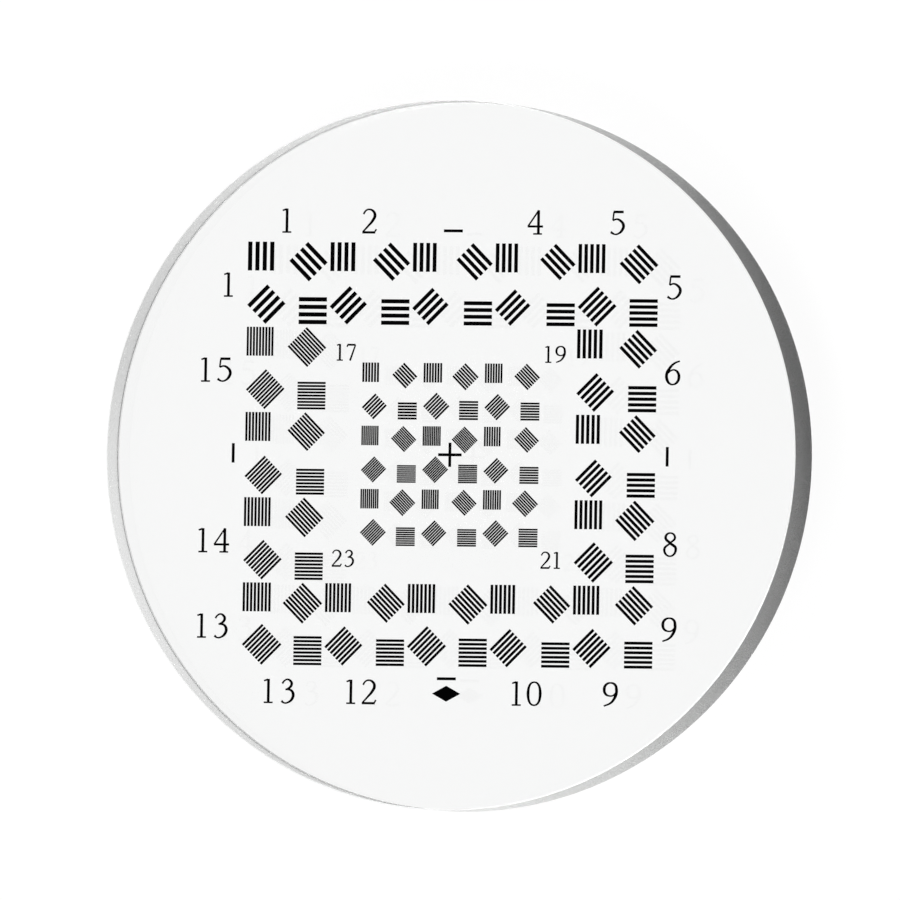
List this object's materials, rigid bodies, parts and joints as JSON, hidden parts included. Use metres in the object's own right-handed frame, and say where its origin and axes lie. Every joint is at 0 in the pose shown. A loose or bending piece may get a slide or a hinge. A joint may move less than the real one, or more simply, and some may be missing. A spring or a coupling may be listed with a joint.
{
  "type": "resolution test target",
  "caption": "Round glass plate with a chrome film pattern of ever finer line groups in four directions, for measuring how small a detail a lens resolves.",
  "frame": {"origin": "centre of the disc's back face, the face that it lies on", "axes": "+Z out of the patterned front face, +X along the pattern's rows to the right, +Y towards the top of the pattern, away from the diamond"},
  "size_m": [0.03, 0.03, 0.003],
  "materials": {
    "optical_glass": "clear, polished faces and a finely ground rim",
    "chrome_film": "black low-reflection chrome film, sharp edged, faint gloss"
  },
  "bodies": {
    "root": {"glass_disc": "optical_glass", "element_01": "chrome_film", "element_02": "chrome_film", "element_03": "chrome_film", "element_04": "chrome_film", "element_05": "chrome_film", "element_06": "chrome_film", "element_07": "chrome_film", "element_08": "chrome_film", "element_09": "chrome_film", "element_10": "chrome_film", "element_11": "chrome_film", "element_12": "chrome_film", "element_13": "chrome_film", "element_14": "chrome_film", "element_15": "chrome_film", "element_16": "chrome_film", "element_17": "chrome_film", "element_18": "chrome_film", "element_19": "chrome_film", "element_20": "chrome_film", "element_21": "chrome_film", "element_22": "chrome_film", "element_23": "chrome_film", "element_24": "chrome_film", "element_25": "chrome_film", "centre_cross": "chrome_film", "edge_ticks": "chrome_film", "orientation_diamond": "chrome_film"}
  },
  "joints": []
}
